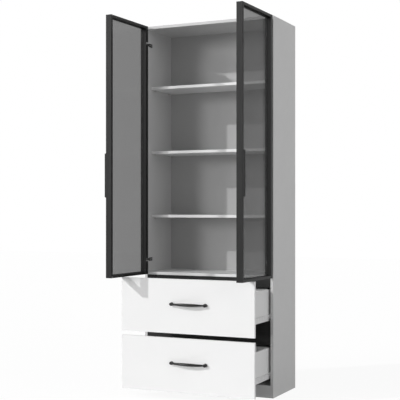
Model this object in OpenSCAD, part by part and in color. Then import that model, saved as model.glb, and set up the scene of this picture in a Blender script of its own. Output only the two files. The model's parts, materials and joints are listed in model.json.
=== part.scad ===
// Glazed display bookcase: two framed glass doors over four bays, and two drawers on roller runners.
// Millimetres, +Z up. The origin is the middle of the carcass's front edge on the floor, and +Y runs
// to the back. The doors and drawers are drawn standing open by the amounts set below.

/* [Carcass] */
// Outer width over the side panels
body_w = 760; // [700:1:900]
// Depth of the side panels
body_d = 340; // [336:1:420]
// Overall height
body_h = 2000; // [1900:1:2200]
// Thickness of the carcass boards, shelves and drawer fronts
board_t = 15; // [15:0.5:18]
// Thickness of the back panels
back_t = 5; // [3:0.5:6]
// Distance from the carcass's rear edges to the back panels
back_inset = 45; // [20:1:45]
// Depth of the grooves that hold the back panels
groove_depth = 6; // [4:0.5:6.5]
// Height of the kick boards
kick_h = 50; // [40:1:60]
// Height of the rail under the display floor
upper_rail_h = 50; // [35:1:55]
// Height of the rail between the drawers
middle_rail_h = 122; // [100:1:125]

/* [Display bays] */
// Clear height of the lowest bay
bay_low = 300; // [260:1:340]
// Clear height of the second bay
bay_mid = 339; // [300:1:360]
// Clear height of the third bay
bay_high = 344; // [300:1:360]
// Distance from the carcass's front to the shelf edges
shelf_setback = 46; // [20:1:60]
// Radius of a shelf pin
shelf_pin_r = 2.5; // [2:0.25:3]
// Length of a shelf pin, half of it in the side panel
shelf_pin_l = 18; // [14:1:22]

/* [Doors] */
// Thickness of a door frame
door_t = 34; // [33:0.5:38]
// Face width of the frame
frame_face = 14; // [12.5:0.5:18]
// Width of the frame's core, from the door's edge to the bottom of the glass groove
frame_core = 9; // [8:0.5:10]
// Face width of the hinge stile
hinge_face = 22.5; // [21:0.5:27]
// Width of the hinge stile's core
hinge_core = 17.5; // [17:0.25:18]
// Depth from the left door's outer face to its glass
left_recess = 7.5; // [6:0.5:9]
// Depth from the right door's outer face to its glass
right_recess = 22; // [20:0.5:24]
// Thickness of the glass
glass_t = 4; // [3:0.5:5]
// Width of the glazing bead
bead_w = 2.5; // [2:0.25:4]
// Thickness of the glazing bead
bead_t = 2.5; // [2:0.25:4]
// Angle at which the left door stands open
left_door_angle = 91.75; // [60:0.25:105]
// Angle at which the right door stands open
right_door_angle = 88.5; // [60:0.25:105]

/* [Hinges] */
// Distance from the door's hinge edge to the pin axis
pivot_edge = 5.75; // [5.5:0.25:6.5]
// Distance from the door's outer face to the pin axis
pivot_depth = 10.75; // [10:0.25:11]
// Radius of a hinge pin
hinge_pin_r = 3; // [2.5:0.25:3.25]
// Radius of a hinge arm's eye
eye_r = 5.5; // [5:0.25:5.5]
// Height of a hinge arm
arm_h = 12; // [10:1:16]
// Thickness of a hinge arm and its plate
arm_t = 3; // [2:0.25:3]
// Height of the lower hinge above the door's foot
hinge_foot = 80; // [60:1:120]
// Depth of the upper hinge under the door's head
hinge_head = 97; // [60:1:120]

/* [Door handles] */
// Length of a door handle
handle_l = 230; // [160:1:300]
// Width of a door handle on the door's face
handle_w = 16; // [12:0.5:19]
// How far a door handle stands off the face
handle_reach = 9; // [7:0.5:12]
// Height of a door handle's lower end above the door's foot
handle_z = 418; // [300:1:500]

/* [Drawers] */
// Height of the lower drawer front's bottom edge
front_base = 40; // [30:1:45]
// Height of a drawer front
front_h = 282; // [278:1:300]
// Gap between the two drawer fronts
front_gap = 23; // [15:1:30]
// Height of a drawer box
box_h = 162; // [120:1:166]
// Height of a drawer box's lower edge above its front's bottom edge
box_lift = 60; // [55:1:64]
// Length of a drawer box behind its front
box_l = 280; // [272:1:281]
// Thickness of the drawer box's sides and back
box_t = 12; // [10:0.5:15]
// Thickness of a drawer bottom
bottom_t = 5; // [3:0.5:6]
// Height of a drawer bottom above the box's lower edge
bottom_lift = 8; // [5:0.5:12]
// How far the upper drawer stands short of fully open
upper_short = 5.5; // [0.5:0.5:240]
// How far the lower drawer stands short of fully open
lower_short = 5.5; // [0.5:0.5:240]

/* [Drawer pulls] */
// Distance from the middle of a drawer front to the middle of its pull, to the right
pull_x = 15; // [0:0.5:30]
// Distance between the centres of a pull's feet
pull_span = 192; // [128:1:224]
// Height of a pull above its front's bottom edge
pull_z = 152; // [120:1:180]
// Distance from the drawer front to the middle of the pull's bar
pull_reach = 29; // [24:0.5:34]
// Radius of the bar at its middle
pull_mid_r = 7.5; // [5:0.25:8]
// Radius of the bar where it meets the feet
pull_neck_r = 3; // [2.5:0.25:4]
// Radius of a pull's foot
pull_foot_r = 9.5; // [8:0.5:12]
// Height of a pull's foot
pull_foot_h = 17; // [12:0.5:18]

/* [Runners] */
// Space between a drawer box and the side panel
runner_space = 12.5; // [12.5:0.1:13.5]
// Thickness of the runner sheet
sheet_t = 1.2; // [1:0.1:1.3]
// Height of the drawer runner's flange above the box's lower edge
flange_lift = 30; // [29:0.5:32]
// Height of the cabinet runner's track above the box's lower edge
track_lift = 11; // [10:0.5:11]
// Radius of a roller
roller_r = 8; // [7:0.25:8]
// Width of a roller
roller_w = 7.2; // [6:0.2:7.2]
// Radius of a roller's axle
axle_r = 3; // [2.5:0.25:3.5]

/* [Fixings] */
// Radius of a fixing screw's shank
screw_r = 1.8; // [1.5:0.1:2.2]
// Length of a fixing screw under its head
screw_l = 11; // [9:0.5:12]
// Radius of a cam lock
cam_r = 7.5; // [6:0.25:8]
// Length of a cam lock
cam_l = 12; // [9:0.5:13]

/* [Hidden] */

$fn = 48;
WHITE = "whitesmoke";
BLACK = [0.16, 0.16, 0.17];
STEEL = "silver";
DARK_STEEL = [0.3, 0.3, 0.31];

// Clearances
turn_gap = 0.05;        // round a pin, axle or roller that turns
seat_gap = 0.05;        // round a pin, screw or cam that is seated
groove_gap = 0.15;      // on each face of a panel in its groove
groove_end_gap = 0.5;   // at the edge of a panel in its groove
shelf_gap = 0.5;        // at each end of a shelf
door_head_gap = 3;      // between a door's head and the top of the carcass
door_foot_gap = 3;      // between a door's foot and the upper drawer front
door_mid_gap = 3;       // between the two doors when they are closed
door_side_gap = 1;      // from the side panel's outer face to the door's hinge edge
door_clear = 2.5;       // between a closed door and the carcass
front_clear = 1.5;      // between a closed drawer front and the carcass
glass_gap = 0.1;        // on each face of the glass
glass_edge_gap = 1;     // round the edge of the glass
arm_gap = 2;            // over and under a hinge arm in its notch
eye_gap = 1;            // behind a hinge arm's eye in its notch
notch_gap = 3;          // beside a hinge arm in its notch
rail_gap = 6;           // between the middle rail and the upper drawer box
flange_gap = 1.5;       // over the drawer runner's flange
runner_gap = 1.3;       // between the two runner profiles
far = 1;                // how far a cut runs past the face it opens

// Carcass
inner_x = body_w / 2 - board_t;
back_y = body_d - back_inset - back_t;
base_top = kick_h + board_t;
floor_under = front_base + 2 * front_h + front_gap;
floor_top = floor_under + board_t;
ceiling_z = body_h - board_t;
shelf_zs = [
    floor_top + bay_low,
    floor_top + bay_low + board_t + bay_mid,
    floor_top + bay_low + board_t + bay_mid + board_t + bay_high
];
shelf_back = back_y - groove_gap - shelf_gap;
pin_margin = 37;
shelf_pin_ys = [shelf_setback + pin_margin, shelf_back - pin_margin];
cam_ys = [60, 250];
cam_margin = 34;
cam_slot_w = 1.2;
cam_slot_h = 2;
panel_zs = [kick_h, floor_under, ceiling_z];

// Doors, in the closed place of the right one
hinge_x = body_w / 2 - door_side_gap;
free_x = door_mid_gap / 2;
door_face_y = -door_clear - door_t;
door_foot = floor_under + door_foot_gap;
door_head = body_h - door_head_gap;
groove_w = glass_t + 2 * glass_gap;
pivot_x = hinge_x - pivot_edge;
pivot_y = door_face_y + pivot_depth;
hinge_zs = [door_foot + hinge_foot, door_head - hinge_head];
handle_inset = 1;       // from the door's free edge to the handle
handle_edge = 2;        // bevel on the handle's free edge
handle_slope = 4;       // how far the handle's back slopes
handle_end = 2;         // bevel on the handle's ends
handle_groove_r = 3.5;  // finger groove along the handle's back
bumper_r = 4;
bumper_t = 2;
bumper_zs = [floor_under + board_t / 2, ceiling_z + board_t / 2];

// Hinge arms
plate_l = 36;
plate_h = 18;
plate_y = 16;
arm_x = inner_x - arm_t;
notch_w = hinge_x - arm_x + notch_gap;
notch_h = arm_h + 2 * arm_gap;
pin_grip = 11;
plate_screw_in = 9;     // plate screws, in from the plate's ends
plate_screw_ys = [plate_y + plate_screw_in, plate_y + plate_l - plate_screw_in];

// Drawers
box_w = 2 * (inner_x - runner_space);
upper_base = front_base + front_h + front_gap;
bottom_groove = 5;
middle_rail_top = upper_base + box_lift - rail_gap;
front_face_y = -front_clear - board_t;
pull_foot_xs = [pull_x - pull_span / 2, pull_x + pull_span / 2];
pull_screw_r = 2;
screw_tip_gap = 0.5;    // from a pull screw's tip to the bar inside the foot
pull_screw_grip = pull_foot_h - 2 * pull_neck_r - screw_tip_gap;
pull_head_t = 2;
foot_edge = 2;          // bevel round a pull's foot
bar_rings = 24;
bar_sides = 16;
bow_power = 0.8;        // below 1 the bar leaves its feet steeply
swell_power = 1.3;      // above 1 the bar stays thin near its feet

// Runners
front_roller_y = 10;
rear_roller_inset = 6;
rear_roller_y = box_l - rear_roller_inset;
stroke = rear_roller_y - front_roller_y - 2 * roller_r;
upper_open = stroke - upper_short;
lower_open = stroke - lower_short;
roller_side_gap = 0.9;
axle_end = 0.3;
lip_w = 12;
screw_head_r = 3.5;
screw_head_t = 1;
runner_screw_ys = [60, 220];
runner_start = 2;
runner_end = back_y - groove_gap - runner_start;
drawer_runner_x = box_w / 2 + sheet_t;
roller_x = drawer_runner_x + roller_side_gap;
flange_end = inner_x - sheet_t - runner_gap;
runner_top = flange_lift + sheet_t + flange_gap;
runner_mid = (track_lift + runner_top) / 2;
front_axle_z = flange_lift - turn_gap - roller_r;
rear_axle_z = track_lift + turn_gap + roller_r;

// A box from its lowest to its highest corner
module block(low, high) {
    translate(low) cube(high - low);
}

// A cylinder along X from x0 to x1, centred on y and z
module rod_x(x0, x1, y, z, r) {
    translate([x0, y, z]) rotate([0, 90, 0]) cylinder(h = x1 - x0, r = r);
}

// A cylinder along Y from y0 to y1, centred on x and z
module rod_y(x, y0, y1, z, r) {
    translate([x, y0, z]) rotate([-90, 0, 0]) cylinder(h = y1 - y0, r = r);
}

// The child as it is, and mirrored to the left
module both_sides() {
    children();
    mirror([1, 0, 0]) children();
}

// ---- Carcass ----

module side_panel() {
    color(WHITE) difference() {
        block([inner_x, 0, 0], [body_w / 2, body_d, body_h]);
        block(
            [inner_x - far, back_y - groove_gap, base_top - groove_depth],
            [inner_x + groove_depth, back_y + back_t + groove_gap, ceiling_z + groove_depth]
        );
        for (z = shelf_zs, y = shelf_pin_ys)
            rod_x(inner_x - far, inner_x + shelf_pin_l / 2 + seat_gap, y,
                z - shelf_pin_r - seat_gap, shelf_pin_r + seat_gap);
        fixing_places() rod_x(-far, screw_head_t + screw_l + seat_gap, 0, 0, screw_r + seat_gap);
    }
}

// A board between the side panels, with grooves for the back panels and bores for the cam locks
module cross_panel(z, groove_over, groove_under) {
    groove_x = inner_x + far;
    color(WHITE) difference() {
        block([-inner_x, 0, z], [inner_x, body_d, z + board_t]);
        if (groove_over)
            block([-groove_x, back_y - groove_gap, z + board_t - groove_depth],
                [groove_x, back_y + back_t + groove_gap, z + board_t + far]);
        if (groove_under)
            block([-groove_x, back_y - groove_gap, z - far],
                [groove_x, back_y + back_t + groove_gap, z + groove_depth]);
        for (x = [-inner_x + cam_margin, inner_x - cam_margin], y = cam_ys)
            translate([x, y, z - far]) cylinder(h = cam_l + seat_gap + far, r = cam_r + seat_gap);
    }
}

module kick_board(y) {
    color(WHITE) block([-inner_x, y, 0], [inner_x, y + board_t, kick_h]);
}

module back_panel(z0, z1) {
    edge_x = inner_x + groove_depth - groove_end_gap;
    grip = groove_depth - groove_end_gap;
    color(WHITE) block([-edge_x, back_y, z0 - grip], [edge_x, back_y + back_t, z1 + grip]);
}

module front_rail(z0, z1) {
    color(BLACK) block([-inner_x, 0, z0], [inner_x, board_t, z1]);
}

module shelf(z) {
    end_x = inner_x - shelf_gap;
    color(WHITE) block([-end_x, shelf_setback, z], [end_x, shelf_back, z + board_t]);
}

module shelf_pins() {
    color(STEEL) both_sides()
        for (z = shelf_zs, y = shelf_pin_ys)
            rod_x(inner_x - shelf_pin_l / 2, inner_x + shelf_pin_l / 2, y,
                z - shelf_pin_r - seat_gap, shelf_pin_r);
}

module cam_locks() {
    color(STEEL) for (z = panel_zs, x = [-inner_x + cam_margin, inner_x - cam_margin], y = cam_ys)
        difference() {
            translate([x, y, z]) cylinder(h = cam_l, r = cam_r);
            block([x - cam_r / 2, y - cam_slot_w / 2, z - far],
                [x + cam_r / 2, y + cam_slot_w / 2, z + cam_slot_h]);
        }
}

// ---- Fixing screws ----

// The child at each fixing screw of the right side panel, with its origin where the head sits
module fixing_places() {
    for (z = hinge_zs, y = plate_screw_ys) translate([arm_x - screw_head_t, y, z]) children();
    for (base = [front_base, upper_base], y = runner_screw_ys)
        translate([inner_x - sheet_t - screw_head_t, y, base + box_lift + runner_mid]) children();
}

module fixing_screws() {
    color(STEEL) both_sides() fixing_places() {
        rod_x(0, screw_head_t, 0, 0, screw_head_r);
        rod_x(0, screw_head_t + screw_l, 0, 0, screw_r);
    }
}

// ---- Hinges ----

// Mounting plate on the side panel, with a bent arm to the eye that turns on the door's pin
module hinge_arm() {
    difference() {
        union() {
            block([arm_x, plate_y, -plate_h / 2], [inner_x, plate_y + plate_l, plate_h / 2]);
            block([arm_x, pivot_y - arm_t / 2, -arm_h / 2], [inner_x, plate_y, arm_h / 2]);
            block([arm_x, pivot_y - arm_t / 2, -arm_h / 2], [pivot_x, pivot_y + arm_t / 2, arm_h / 2]);
            translate([pivot_x, pivot_y, -arm_h / 2]) cylinder(h = arm_h, r = eye_r);
        }
        translate([pivot_x, pivot_y, -arm_h])
            cylinder(h = 2 * arm_h, r = hinge_pin_r + turn_gap);
        for (y = plate_screw_ys) rod_x(arm_x - far, inner_x + far, y, 0, screw_r + seat_gap);
    }
}

module hinge_arms() {
    color(DARK_STEEL) for (z = hinge_zs) translate([0, 0, z]) hinge_arm();
}

// ---- Doors, each piece in the right door's closed place ----

// Turns the right door's pieces open, or mirrors them and turns them open on the left
module hung(side) {
    if (side > 0)
        swing(right_door_angle) children();
    else
        mirror([1, 0, 0]) swing(left_door_angle) children();
}

module swing(angle) {
    translate([pivot_x, pivot_y, 0]) rotate([0, 0, angle]) translate([-pivot_x, -pivot_y, 0])
        children();
}

// A cube of the door: x measured in from the free edge or the hinge edge, depth from the outer face
module door_block(x0, x1, depth0, depth1, z0, z1) {
    block([x0, door_face_y + depth0, z0], [x1, door_face_y + depth1, z1]);
}

// A stile's section, with the glass groove that starts at the depth recess
module stile_section(face, core, recess) {
    groove_end = recess + groove_w;
    polygon([
        [0, 0], [face, 0], [face, recess], [core, recess],
        [core, groove_end], [face, groove_end], [face, door_t], [0, door_t]
    ]);
}

module hinge_stile(recess) {
    color(BLACK) difference() {
        translate([hinge_x, door_face_y, door_foot]) mirror([1, 0, 0])
            linear_extrude(door_head - door_foot) stile_section(hinge_face, hinge_core, recess);
        for (z = hinge_zs) {
            block([hinge_x - notch_w, pivot_y - eye_r - eye_gap, z - notch_h / 2],
                [hinge_x + far, 0, z + notch_h / 2]);
            translate([pivot_x, pivot_y, z - notch_h / 2 - pin_grip])
                cylinder(h = notch_h + 2 * pin_grip, r = hinge_pin_r + seat_gap);
        }
    }
}

module free_stile(recess) {
    color(BLACK) translate([free_x, door_face_y, door_foot])
        linear_extrude(door_head - door_foot) stile_section(frame_face, frame_core, recess);
}

// The top rail for dir = -1 at the head, and the bottom rail for dir = 1 at the foot
module door_rail(recess, z, dir) {
    color(BLACK) {
        rail_layer(z, dir, frame_face, hinge_face, 0, recess);
        rail_layer(z, dir, frame_core, hinge_core, recess, recess + groove_w);
        rail_layer(z, dir, frame_face, hinge_face, recess + groove_w, door_t);
    }
}

// One layer of a rail: as tall as the free stile is wide there, and between the two stiles
module rail_layer(z, dir, free_w, hinge_w, depth0, depth1) {
    z_inner = z + dir * free_w;
    door_block(free_x + free_w, hinge_x - hinge_w, depth0, depth1, min(z, z_inner), max(z, z_inner));
}

module door_glass(recess) {
    edge = frame_core + glass_edge_gap;
    color([0.45, 0.46, 0.47, 0.45])
        door_block(free_x + edge, hinge_x - hinge_core - glass_edge_gap, recess + glass_gap,
            recess + glass_gap + glass_t, door_foot + edge, door_head - edge);
}

// Rubber bead round the glass, in the corner of the frame, from the given depth inwards
module door_bead(depth) {
    edge = frame_face + glass_gap;
    inner = edge + bead_w;
    hinge_edge = hinge_face + glass_gap;
    color(BLACK) difference() {
        door_block(free_x + edge, hinge_x - hinge_edge, depth, depth + bead_t,
            door_foot + edge, door_head - edge);
        door_block(free_x + inner, hinge_x - hinge_edge - bead_w, depth - far, depth + bead_t + far,
            door_foot + inner, door_head - inner);
    }
}

// Edge handle: a bar with bevelled ends, a sloped back and a finger groove along it
module door_handle() {
    z0 = door_foot + handle_z;
    color(BLACK) difference() {
        intersection() {
            translate([free_x + handle_inset, door_face_y, z0]) linear_extrude(handle_l) polygon([
                [0, 0], [0, handle_edge - handle_reach], [handle_edge, -handle_reach],
                [handle_w - handle_slope, -handle_reach], [handle_w, 0]
            ]);
            translate([free_x, door_face_y, z0]) rotate([90, 0, 90])
                linear_extrude(handle_inset + handle_w + far) polygon([
                    [0, 0], [-handle_reach, handle_end],
                    [-handle_reach, handle_l - handle_end], [0, handle_l]
                ]);
        }
        translate([free_x + handle_inset + handle_w, door_face_y - handle_reach / 2, z0 - far])
            cylinder(h = handle_l + 2 * far, r = handle_groove_r);
    }
}

module door_pins() {
    half = notch_h / 2 + pin_grip - seat_gap;
    color(STEEL) for (z = hinge_zs)
        translate([pivot_x, pivot_y, z - half]) cylinder(h = 2 * half, r = hinge_pin_r);
}

module door_bumpers() {
    color("dimgray") for (z = bumper_zs)
        rod_y(free_x + frame_face / 2, -door_clear, -door_clear + bumper_t, z, bumper_r);
}

// ---- Drawers, each piece in its closed place over the given front base ----

module drawn(open) {
    translate([0, -open, 0]) children();
}

module drawer_front(base) {
    z = base + pull_z;
    color(WHITE) difference() {
        block([-body_w / 2, front_face_y, base], [body_w / 2, -front_clear, base + front_h]);
        for (x = pull_foot_xs) rod_y(x, front_face_y - far, far, z, pull_screw_r + seat_gap);
    }
}

module drawer_side(base) {
    z = base + box_lift;
    inner = box_w / 2 - box_t;
    color(WHITE) difference() {
        block([inner, -front_clear, z], [box_w / 2, box_l - front_clear, z + box_h]);
        block([inner - far, -front_clear - far, z + bottom_lift - groove_gap],
            [inner + bottom_groove, box_l, z + bottom_lift + bottom_t + groove_gap]);
    }
}

module drawer_back(base) {
    z = base + box_lift;
    inner = box_w / 2 - box_t;
    color(WHITE) block([-inner, box_l - front_clear - box_t, z + bottom_lift + bottom_t + groove_gap],
        [inner, box_l - front_clear, z + box_h]);
}

module drawer_bottom(base) {
    z = base + box_lift + bottom_lift;
    edge = box_w / 2 - box_t + bottom_groove - groove_end_gap;
    color(WHITE) block([-edge, -front_clear, z], [edge, box_l - front_clear, z + bottom_t]);
}

// Bow pull: a bar that swells and stands off towards its middle, on two round feet
module drawer_pull(base) {
    z = base + pull_z;
    color(BLACK) translate([0, front_face_y, z]) {
        bow_bar();
        for (x = pull_foot_xs)
            translate([x, 0, 0]) rotate([90, 0, 0]) difference() {
                union() {
                    cylinder(h = pull_foot_h - foot_edge, r = pull_foot_r);
                    translate([0, 0, pull_foot_h - foot_edge])
                        cylinder(h = foot_edge, r1 = pull_foot_r, r2 = pull_foot_r - foot_edge);
                }
                translate([0, 0, -far])
                    cylinder(h = pull_screw_grip + far + seat_gap, r = pull_screw_r + seat_gap);
            }
    }
}

// The bar's ring i: its place along the bar, how far it stands off, and its radius
function bar_x(i) = pull_x + pull_span * (i / bar_rings - 1 / 2);
function bar_swell(i) = sin(180 * i / bar_rings);
function bar_foot() = pull_foot_h - pull_neck_r;
function bar_y(i) = -bar_foot() - (pull_reach - bar_foot()) * pow(bar_swell(i), bow_power);
function bar_r(i) = pull_neck_r + (pull_mid_r - pull_neck_r) * pow(bar_swell(i), swell_power);

module bow_bar() {
    points = [
        for (i = [0:bar_rings], k = [0:bar_sides - 1])
            [
                bar_x(i),
                bar_y(i) + bar_r(i) * cos(360 * k / bar_sides),
                bar_r(i) * sin(360 * k / bar_sides)
            ]
    ];
    walls = [
        for (i = [0:bar_rings - 1], k = [0:bar_sides - 1])
            [
                i * bar_sides + k, (i + 1) * bar_sides + k,
                (i + 1) * bar_sides + (k + 1) % bar_sides, i * bar_sides + (k + 1) % bar_sides
            ]
    ];
    first_end = [for (k = [0:bar_sides - 1]) k];
    last_end = [for (k = [0:bar_sides - 1]) (bar_rings + 1) * bar_sides - 1 - k];
    polyhedron(points, concat(walls, [first_end, last_end]), convexity = 4);
}

module pull_screws(base) {
    z = base + pull_z;
    color(STEEL) for (x = pull_foot_xs) {
        rod_y(x, -front_clear, -front_clear + pull_head_t, z, 2 * pull_screw_r);
        rod_y(x, front_face_y - pull_screw_grip, -front_clear, z, pull_screw_r);
    }
}

// ---- Runners ----

// Section of the cabinet runner: a channel that opens towards the drawer, above the box's lower edge
module cabinet_runner(base) {
    z = base + box_lift;
    x0 = drawer_runner_x + runner_gap;
    color(WHITE) {
        difference() {
            block([x0, runner_start, z + track_lift - sheet_t],
                [inner_x, runner_end, z + runner_top + sheet_t]);
            block([x0 - far, runner_start - far, z + track_lift],
                [inner_x - sheet_t, runner_end + far, z + runner_top]);
            for (y = runner_screw_ys)
                rod_x(x0, inner_x + far, y, z + runner_mid, screw_r + seat_gap);
        }
        rod_x(roller_x - axle_end, inner_x - sheet_t / 2, front_roller_y, z + front_axle_z, axle_r);
    }
}

// Drawer runner: a lip under the box, a web beside it and a flange that rides on the front roller
module drawer_runner(base) {
    z = base + box_lift;
    x0 = box_w / 2;
    color(WHITE) {
        block([x0 - lip_w, 0, z - sheet_t], [drawer_runner_x, box_l - front_clear, z]);
        block([x0, 0, z - sheet_t], [drawer_runner_x, box_l - front_clear, z + flange_lift + sheet_t]);
        block([x0, 0, z + flange_lift], [flange_end, box_l - front_clear, z + flange_lift + sheet_t]);
        rod_x(drawer_runner_x - sheet_t / 2, roller_x + roller_w + axle_end, rear_roller_y,
            z + rear_axle_z, axle_r);
    }
}

module roller(y, z) {
    color("gainsboro") difference() {
        rod_x(roller_x, roller_x + roller_w, y, z, roller_r);
        rod_x(roller_x - far, roller_x + roller_w + far, y, z, axle_r + turn_gap);
    }
}

// ---- Nodes ----

mirror([1, 0, 0]) side_panel();  // left_side
side_panel();  // right_side
cross_panel(ceiling_z, false, true);  // top_panel
cross_panel(floor_under, true, true);  // display_floor
cross_panel(kick_h, true, false);  // base_panel
kick_board(0);  // front_kick_board
kick_board(body_d - board_t);  // rear_kick_board
back_panel(floor_top, ceiling_z);  // upper_back
back_panel(base_top, floor_under);  // lower_back
front_rail(floor_under - upper_rail_h, floor_under);  // upper_rail
front_rail(middle_rail_top - middle_rail_h, middle_rail_top);  // middle_rail
shelf(shelf_zs[0]);  // low_shelf
shelf(shelf_zs[1]);  // mid_shelf
shelf(shelf_zs[2]);  // high_shelf
shelf_pins();
cam_locks();
fixing_screws();
both_sides() cabinet_runner(upper_base);  // upper_cabinet_runners
both_sides() cabinet_runner(front_base);  // lower_cabinet_runners
mirror([1, 0, 0]) hinge_arms();  // left_hinge_arms
hinge_arms();  // right_hinge_arms

hung(-1) hinge_stile(left_recess);  // left_door_hinge_stile
hung(-1) free_stile(left_recess);  // left_door_free_stile
hung(-1) door_rail(left_recess, door_head, -1);  // left_door_top_rail
hung(-1) door_rail(left_recess, door_foot, 1);  // left_door_bottom_rail
hung(-1) door_glass(left_recess);  // left_door_glass
hung(-1) door_bead(left_recess + groove_w);  // left_door_bead
hung(-1) door_handle();  // left_door_handle
hung(-1) door_pins();  // left_door_pins
hung(-1) door_bumpers();  // left_door_bumpers

hung(1) hinge_stile(right_recess);  // right_door_hinge_stile
hung(1) free_stile(right_recess);  // right_door_free_stile
hung(1) door_rail(right_recess, door_head, -1);  // right_door_top_rail
hung(1) door_rail(right_recess, door_foot, 1);  // right_door_bottom_rail
hung(1) door_glass(right_recess);  // right_door_glass
hung(1) door_bead(right_recess - bead_t);  // right_door_bead
hung(1) door_handle();  // right_door_handle
hung(1) door_pins();  // right_door_pins
hung(1) door_bumpers();  // right_door_bumpers

drawn(upper_open) drawer_front(upper_base);  // upper_drawer_front
drawn(upper_open) mirror([1, 0, 0]) drawer_side(upper_base);  // upper_drawer_left_side
drawn(upper_open) drawer_side(upper_base);  // upper_drawer_right_side
drawn(upper_open) drawer_back(upper_base);  // upper_drawer_back
drawn(upper_open) drawer_bottom(upper_base);  // upper_drawer_bottom
drawn(upper_open) drawer_pull(upper_base);  // upper_drawer_pull
drawn(upper_open) pull_screws(upper_base);  // upper_pull_screws
drawn(upper_open) both_sides() drawer_runner(upper_base);  // upper_drawer_runners

drawn(lower_open) drawer_front(front_base);  // lower_drawer_front
drawn(lower_open) mirror([1, 0, 0]) drawer_side(front_base);  // lower_drawer_left_side
drawn(lower_open) drawer_side(front_base);  // lower_drawer_right_side
drawn(lower_open) drawer_back(front_base);  // lower_drawer_back
drawn(lower_open) drawer_bottom(front_base);  // lower_drawer_bottom
drawn(lower_open) drawer_pull(front_base);  // lower_drawer_pull
drawn(lower_open) pull_screws(front_base);  // lower_pull_screws
drawn(lower_open) both_sides() drawer_runner(front_base);  // lower_drawer_runners

both_sides() roller(front_roller_y, upper_base + box_lift + front_axle_z);  // upper_front_rollers
drawn(upper_open) both_sides() roller(rear_roller_y, upper_base + box_lift + rear_axle_z);  // upper_rear_rollers
both_sides() roller(front_roller_y, front_base + box_lift + front_axle_z);  // lower_front_rollers
drawn(lower_open) both_sides() roller(rear_roller_y, front_base + box_lift + rear_axle_z);  // lower_rear_rollers
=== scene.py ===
"""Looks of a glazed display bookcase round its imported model. Metres, +Z up, the model's own frame."""
import json
import math
import bpy
import bmesh
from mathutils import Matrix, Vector


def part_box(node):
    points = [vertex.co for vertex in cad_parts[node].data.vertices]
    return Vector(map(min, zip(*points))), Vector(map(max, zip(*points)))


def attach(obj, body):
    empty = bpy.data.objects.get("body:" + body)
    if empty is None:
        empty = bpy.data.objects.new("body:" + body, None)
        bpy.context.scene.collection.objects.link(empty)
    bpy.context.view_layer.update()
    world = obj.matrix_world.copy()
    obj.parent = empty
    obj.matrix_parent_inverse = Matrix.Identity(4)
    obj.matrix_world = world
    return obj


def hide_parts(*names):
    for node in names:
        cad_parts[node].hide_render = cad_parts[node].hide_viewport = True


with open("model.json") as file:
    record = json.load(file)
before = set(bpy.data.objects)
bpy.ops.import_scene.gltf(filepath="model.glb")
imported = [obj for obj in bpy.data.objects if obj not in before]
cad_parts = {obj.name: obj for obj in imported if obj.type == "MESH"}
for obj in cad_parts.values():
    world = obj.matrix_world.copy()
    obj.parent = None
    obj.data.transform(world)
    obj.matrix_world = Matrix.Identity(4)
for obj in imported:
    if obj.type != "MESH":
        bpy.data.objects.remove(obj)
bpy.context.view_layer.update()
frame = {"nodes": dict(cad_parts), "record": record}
NODES = frame["nodes"]

MM = 0.001


# ---- Shader helpers ----

class Shader:
    """A Principled material whose nodes are added one by one."""

    def __init__(self, name, roughness=0.5, **sockets):
        self.material = bpy.data.materials.new(name)
        self.material.use_nodes = True
        self.tree = self.material.node_tree
        self.surface = self.tree.nodes["Principled BSDF"]
        self.place = self.add("ShaderNodeTexCoord").outputs["Object"]
        self.surface.inputs["Roughness"].default_value = roughness
        for socket, value in sockets.items():
            self.surface.inputs[socket.replace("_", " ")].default_value = value

    def add(self, kind, **settings):
        node = self.tree.nodes.new(kind)
        for name, value in settings.items():
            setattr(node, name, value)
        return node

    def link(self, source, target):
        self.tree.links.new(source, target)

    def stretched(self, scale):
        """Object coordinates scaled along each axis."""
        mapping = self.add("ShaderNodeMapping")
        mapping.inputs["Scale"].default_value = scale
        self.link(self.place, mapping.inputs["Vector"])
        return mapping.outputs["Vector"]

    def noise(self, scale, detail=3.0, roughness=0.5, place=None):
        node = self.add("ShaderNodeTexNoise")
        node.inputs["Scale"].default_value = scale
        node.inputs["Detail"].default_value = detail
        node.inputs["Roughness"].default_value = roughness
        self.link(place or self.place, node.inputs["Vector"])
        return node.outputs["Fac"]

    def ramp(self, factor, low, high, start=0.35, end=0.65):
        """Runs from the colour low to the colour high as factor goes from start to end."""
        node = self.add("ShaderNodeValToRGB")
        first, last = node.color_ramp.elements
        first.position, last.position = start, end
        first.color, last.color = (*low, 1), (*high, 1)
        self.link(factor, node.inputs["Fac"])
        return node.outputs["Color"]

    def spread(self, factor, low, high):
        """Maps factor from 0.3..0.7 to low..high."""
        node = self.add("ShaderNodeMapRange")
        for name, value in zip(("From Min", "From Max", "To Min", "To Max"), (0.3, 0.7, low, high)):
            node.inputs[name].default_value = value
        self.link(factor, node.inputs["Value"])
        return node.outputs["Result"]

    def math(self, operation, a, b=0.0):
        node = self.add("ShaderNodeMath", operation=operation)
        for socket, value in ((node.inputs[0], a), (node.inputs[1], b)):
            if isinstance(value, bpy.types.NodeSocket):
                self.link(value, socket)
            else:
                socket.default_value = value
        return node.outputs["Value"]

    def bump(self, height, strength, distance):
        node = self.add("ShaderNodeBump")
        node.inputs["Strength"].default_value = strength
        node.inputs["Distance"].default_value = distance
        self.link(height, node.inputs["Height"])
        self.link(node.outputs["Normal"], self.surface.inputs["Normal"])

    def colour(self, source):
        self.link(source, self.surface.inputs["Base Color"])

    def roughen(self, source):
        self.link(source, self.surface.inputs["Roughness"])


def grey(value, warmth=0.0):
    return (value * (1 + warmth), value, value * (1 - warmth))


# ---- Materials ----

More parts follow.
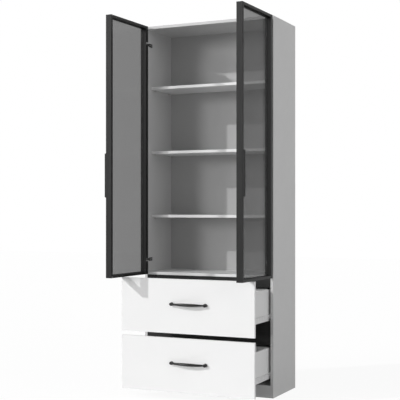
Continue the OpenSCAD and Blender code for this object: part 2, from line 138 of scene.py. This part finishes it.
def melamine(name, value, roughness=0.42):
    """White melamine: a faint pearl texture, hardly any mottle, and softly varying gloss."""
    s = Shader(name, roughness, Specular_IOR_Level=0.35)
    mottle = s.noise(5.0, 4.0)
    s.colour(s.ramp(mottle, grey(value * 0.985), grey(value)))
    pearl = s.noise(620.0, 2.0)
    s.roughen(s.spread(s.noise(38.0, 3.0), roughness - 0.05, roughness + 0.06))
    s.bump(pearl, 0.10, 0.25 * MM)
    return s.material


def wood_foil(name, value, roughness, along):
    """Near-black foil with a fine pressed grain along one axis."""
    s = Shader(name, roughness, Specular_IOR_Level=0.12)
    scale = [260.0, 260.0, 260.0]
    scale[along] = 7.0
    grain = s.noise(1.0, 5.0, 0.62, s.stretched(scale))
    s.colour(s.ramp(grain, grey(value * 0.8), grey(value * 1.18), 0.3, 0.7))
    s.roughen(s.spread(grain, roughness + 0.06, roughness - 0.05))
    s.bump(grain, 0.22, 0.12 * MM)
    return s.material


def coated_metal(name, value, roughness, coat=0.0):
    """Painted or powder-coated metal with fine orange peel."""
    s = Shader(name, roughness, Coat_Weight=coat, Coat_Roughness=0.12, Specular_IOR_Level=0.2)
    peel = s.noise(900.0, 2.0)
    s.colour(s.ramp(s.noise(60.0, 3.0), grey(value * 0.93), grey(value * 1.05)))
    s.roughen(s.spread(s.noise(140.0, 2.0), roughness - 0.05, roughness + 0.07))
    s.bump(peel, 0.16, 0.10 * MM)
    return s.material


def plated_steel(name, value):
    """Zinc-plated steel, lightly brushed along its length."""
    s = Shader(name, 0.32, Metallic=1.0)
    brush = s.noise(1.0, 3.0, 0.6, s.stretched((2600.0, 300.0, 300.0)))
    s.colour(s.ramp(brush, grey(value * 0.86, 0.01), grey(value, 0.01)))
    s.roughen(s.spread(brush, 0.26, 0.40))
    s.bump(brush, 0.12, 0.05 * MM)
    return s.material


def soft_polymer(name, value, roughness):
    """Nylon, rubber and seals."""
    s = Shader(name, roughness)
    s.colour(s.ramp(s.noise(90.0, 4.0), grey(value * 0.9), grey(value * 1.06)))
    s.roughen(s.spread(s.noise(300.0, 2.0), roughness - 0.08, roughness + 0.06))
    s.bump(s.noise(1400.0, 2.0), 0.2, 0.08 * MM)
    return s.material


def smoked_glass(name, value, alpha, lamp_alpha):
    """Tinted pane: what is behind it shows darkened by alpha, under a clear reflection, and lamps shine through
    it past lamp_alpha, which is lower than alpha."""
    s = Shader(name, 0.05, IOR=1.15)
    lamp = s.add("ShaderNodeLightPath").outputs["Is Shadow Ray"]
    s.link(s.math("SUBTRACT", alpha, s.math("MULTIPLY", lamp, alpha - lamp_alpha)), s.surface.inputs["Alpha"])
    s.colour(s.ramp(s.noise(4.0, 3.0), grey(value * 0.94), grey(value)))
    s.roughen(s.spread(s.noise(14.0, 3.0), 0.02, 0.05))
    return s.material


MATERIALS = {
    "white_board": melamine("white_melamine", 0.88, 0.38),
    # The back board's grey is painted shade: it stands for the shade inside the cabinet, and the real board may
    # be as white as the fronts.
    "white_back_board": melamine("white_back_board", 0.50, 0.5),
    # The drawer boards' grey, a little under the fronts' white, is painted shade fitted to their shaded sides.
    "drawer_board": melamine("drawer_board", 0.83, 0.5),
    "black_rail": wood_foil("black_rail_foil", 0.024, 0.42, 0),
    "black_frame": wood_foil("black_frame_foil", 0.018, 0.40, 2),
    "tinted_glass": smoked_glass("smoked_glass", 0.10, 0.575, 0.14),
    "glass_bead": soft_polymer("glazing_bead", 0.018, 0.6),
    "bumper_rubber": soft_polymer("bumper_rubber", 0.22, 0.6),
    "black_handle": coated_metal("black_handle_paint", 0.010, 0.5),
    "black_pull": coated_metal("black_pull_paint", 0.012, 0.34, 0.1),
    "hinge_steel": coated_metal("hinge_paint", 0.07, 0.38),
    "white_runner": coated_metal("runner_powder_coat", 0.80, 0.38),
    "roller_plastic": soft_polymer("roller_nylon", 0.72, 0.4),
    "bright_steel": plated_steel("zinc_plate", 0.62),
}


# The carcass boards' grey is painted shade, fitted to the photograph under the lamps below. The real boards
# may be as white as the fronts.
CARCASS = melamine("carcass_melamine_painted_shade", 0.62)
CARCASS_NODES = {"left_side", "right_side", "top_panel", "base_panel", "front_kick_board", "rear_kick_board"}


# ---- CAD nodes: materials and eased edges ----

EDGE_RADIUS = {
    "white_board": 0.6, "white_back_board": 0.3, "drawer_board": 0.6, "black_rail": 0.6,
    "black_frame": 0.9, "tinted_glass": 0.5, "glass_bead": 0.8, "black_handle": 0.7,
    "hinge_steel": 0.35, "white_runner": 0.25, "bright_steel": 0.2, "roller_plastic": 0.4,
    "bumper_rubber": 0.4,
}


def ease_edges(piece, radius):
    """Rounds a piece's sharp edges as a modifier, so its mesh stays as it is."""
    weld = piece.modifiers.new("weld", "WELD")
    weld.merge_threshold = 0.01 * MM
    bevel = piece.modifiers.new("bevel", "BEVEL")
    bevel.width = radius
    bevel.segments = 2
    bevel.limit_method = "ANGLE"
    bevel.angle_limit = math.radians(40)
    flat = piece.modifiers.new("flat_faces", "WEIGHTED_NORMAL")
    flat.weight = 100
    flat.keep_sharp = True


def dress_cad_nodes():
    for row in frame["record"]["subparts"]:
        piece = NODES[row["node"]]
        slot = row["material_slot"]
        piece.data.materials.clear()
        piece.data.materials.append(CARCASS if row["node"] in CARCASS_NODES else MATERIALS[slot])
        if slot in EDGE_RADIUS:
            ease_edges(piece, EDGE_RADIUS[slot] * MM)


dress_cad_nodes()


# ---- Drawer pulls: cast bow bars on turned feet ----

FOOT_PROFILE = (  # distance out from the drawer front, radius, in mm
    (0.0, 8.9), (0.5, 9.4), (1.6, 9.5), (3.2, 9.2), (5.4, 8.5), (8.0, 8.0), (10.5, 8.1), (12.8, 8.5),
    (14.6, 8.6), (15.9, 8.0), (16.7, 6.6), (17.0, 4.0),
)
PULL_SPAN = 192 * MM
PULL_REACH = 25.5 * MM
PULL_NECK = 3.6 * MM
PULL_MIDDLE = 7.9 * MM
PULL_FOOT = 17 * MM
PULL_STEPS = 72         # along the bar
PULL_BAR_SIDES = 28
PULL_FOOT_SIDES = 40
REACH_POWER = 0.8       # below 1 the bar leaves its feet steeply
SWELL_POWER = 0.85


def ring(mesh, centre, across, up, sides):
    """Vertices on an ellipse with the half axes across and up."""
    turns = [2 * math.pi * k / sides for k in range(sides)]
    return [mesh.verts.new(centre + across * math.cos(t) + up * math.sin(t)) for t in turns]


def skin(mesh, rings):
    """Closes a row of rings into one solid with flat ends."""
    sides = len(rings[0])
    for near, far in zip(rings, rings[1:]):
        for k in range(sides):
            mesh.faces.new((near[k], near[(k + 1) % sides], far[(k + 1) % sides], far[k]))
    mesh.faces.new(rings[0][::-1])
    mesh.faces.new(rings[-1])


def new_piece(name, mesh, material):
    bmesh.ops.recalc_face_normals(mesh, faces=mesh.faces)
    data = bpy.data.meshes.new(name)
    mesh.to_mesh(data)
    mesh.free()
    data.materials.append(material)
    data.shade_smooth()
    piece = bpy.data.objects.new(name, data)
    bpy.context.scene.collection.objects.link(piece)
    return piece


def make_pull(name, node, body):
    """One drawer pull in the place of the CAD node, whose body it rides on."""
    low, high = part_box(node)
    middle = Vector(((low.x + high.x) / 2, high.y, (low.z + high.z) / 2))
    along, out, up = Vector((1, 0, 0)), Vector((0, -1, 0)), Vector((0, 0, 1))
    mesh = bmesh.new()
    for side in (-1, 1):
        foot = middle + along * side * PULL_SPAN / 2
        skin(mesh, [
            ring(mesh, foot + out * reach * MM, along * radius * MM, up * radius * MM, PULL_FOOT_SIDES)
            for reach, radius in FOOT_PROFILE
        ])
    count = PULL_STEPS
    base = PULL_FOOT - PULL_NECK
    spine = []
    for i in range(count + 1):
        swell = math.sin(math.pi * i / count)
        reach = base + (PULL_REACH - base) * swell ** REACH_POWER
        place = middle + along * PULL_SPAN * (i / count - 0.5) + out * reach
        spine.append((place, PULL_NECK + (PULL_MIDDLE - PULL_NECK) * swell ** SWELL_POWER))
    rings = []
    for i, (place, radius) in enumerate(spine):
        ahead = spine[min(i + 1, count)][0] - spine[max(i - 1, 0)][0]
        across = ahead.cross(up).normalized()
        rings.append(ring(mesh, place, across * radius, up * radius, PULL_BAR_SIDES))
    skin(mesh, rings)
    piece = new_piece(name, mesh, MATERIALS["black_pull"])
    fuse = piece.modifiers.new("fuse", "REMESH")
    fuse.mode = "VOXEL"
    fuse.voxel_size = 0.8 * MM
    fuse.use_smooth_shade = True
    soften = piece.modifiers.new("soften", "SMOOTH")
    soften.factor = 0.5
    soften.iterations = 5
    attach(piece, body)
    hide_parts(node)


make_pull("upper_bow_pull", "upper_drawer_pull", "upper_drawer")
make_pull("lower_bow_pull", "lower_drawer_pull", "lower_drawer")


# ---- Stage, light and camera ----

def mixed_for_camera(tree, plain, seen, factor):
    """Mixes the shader seen into plain, in the share factor, for camera, glossy and transmission rays."""
    path = tree.nodes.new("ShaderNodeLightPath")
    seeing = tree.nodes.new("ShaderNodeMath")
    seeing.operation = "MAXIMUM"
    tree.links.new(path.outputs["Is Camera Ray"], seeing.inputs[0])
    glossy = tree.nodes.new("ShaderNodeMath")
    glossy.operation = "MAXIMUM"
    tree.links.new(path.outputs["Is Glossy Ray"], glossy.inputs[0])
    tree.links.new(path.outputs["Is Transmission Ray"], glossy.inputs[1])
    tree.links.new(glossy.outputs[0], seeing.inputs[1])
    share = tree.nodes.new("ShaderNodeMath")
    share.operation = "MULTIPLY"
    share.inputs[1].default_value = factor
    tree.links.new(seeing.outputs[0], share.inputs[0])
    mix = tree.nodes.new("ShaderNodeMixShader")
    tree.links.new(share.outputs[0], mix.inputs[0])
    tree.links.new(plain.outputs[0], mix.inputs[1])
    tree.links.new(seen.outputs[0], mix.inputs[2])
    return mix


AMBIENT = 0.27          # the world's strength, for all rays that light the object
FLOOR_REACH = 14.0      # from the middle of the floor to its edge
FLOOR_GREY = 0.62
FLOOR_SEEN = 1.13       # strength of the white that the camera sees on the floor
FLOOR_SHARE = 0.8       # its share, and the rest keeps the object's shadow
CAMERA_PLACE = (2.1674, -4.6691, 0.9873)
CAMERA_TURN = 25.33     # degrees to the left of straight ahead
CAMERA_LENS = 86.0
CAMERA_SHIFT = 0.0233


def make_world():
    world = bpy.data.worlds.new("studio")
    bpy.context.scene.world = world
    world.use_nodes = True
    tree = world.node_tree
    plain = tree.nodes["Background"]
    plain.inputs["Color"].default_value = (1, 1, 1, 1)
    plain.inputs["Strength"].default_value = AMBIENT
    seen = tree.nodes.new("ShaderNodeBackground")
    seen.inputs["Color"].default_value = (1, 1, 1, 1)
    mix = mixed_for_camera(tree, plain, seen, 1.0)
    tree.links.new(mix.outputs[0], tree.nodes["World Output"].inputs["Surface"])


def make_floor():
    size = FLOOR_REACH
    mesh = bpy.data.meshes.new("floor")
    corners = [(-size, -size, 0), (size, -size, 0), (size, size, 0), (-size, size, 0)]
    mesh.from_pydata(corners, [], [(0, 1, 2, 3)])
    floor = bpy.data.objects.new("floor", mesh)
    bpy.context.scene.collection.objects.link(floor)
    material = bpy.data.materials.new("pale_floor")
    material.use_nodes = True
    tree = material.node_tree
    plain = tree.nodes["Principled BSDF"]
    plain.inputs["Base Color"].default_value = (FLOOR_GREY, FLOOR_GREY, FLOOR_GREY, 1)
    plain.inputs["Roughness"].default_value = 0.8
    plain.inputs["Specular IOR Level"].default_value = 0.1
    seen = tree.nodes.new("ShaderNodeEmission")
    seen.inputs["Color"].default_value = (1, 1, 1, 1)
    seen.inputs["Strength"].default_value = FLOOR_SEEN
    mix = mixed_for_camera(tree, plain, seen, FLOOR_SHARE)
    tree.links.new(mix.outputs[0], tree.nodes["Material Output"].inputs["Surface"])
    mesh.materials.append(material)


def make_sun(name, travel, strength, angle):
    """A sun whose light travels along the vector travel."""
    data = bpy.data.lights.new(name, "SUN")
    data.energy = strength
    data.angle = math.radians(angle)
    lamp = bpy.data.objects.new(name, data)
    lamp.rotation_euler = Vector(travel).to_track_quat("-Z", "Y").to_euler()
    bpy.context.scene.collection.objects.link(lamp)


def make_camera():
    data = bpy.data.cameras.new("camera")
    data.lens = CAMERA_LENS
    data.sensor_width = 36.0
    data.shift_y = CAMERA_SHIFT
    camera = bpy.data.objects.new("camera", data)
    camera.location = CAMERA_PLACE
    camera.rotation_euler = (math.radians(90), 0, math.radians(CAMERA_TURN))
    bpy.context.scene.collection.objects.link(camera)
    bpy.context.scene.camera = camera


make_world()
make_floor()
make_sun("key", (1.02, 1.0, -0.78), 1.72, 1.2)
make_sun("fill", (0.57, 1.0, -0.20), 0.90, 17.0)
make_sun("side", (-1.0, 0.25, -0.3), 0.74, 60.0)
make_camera()
bpy.context.scene.view_settings.view_transform = "Standard"
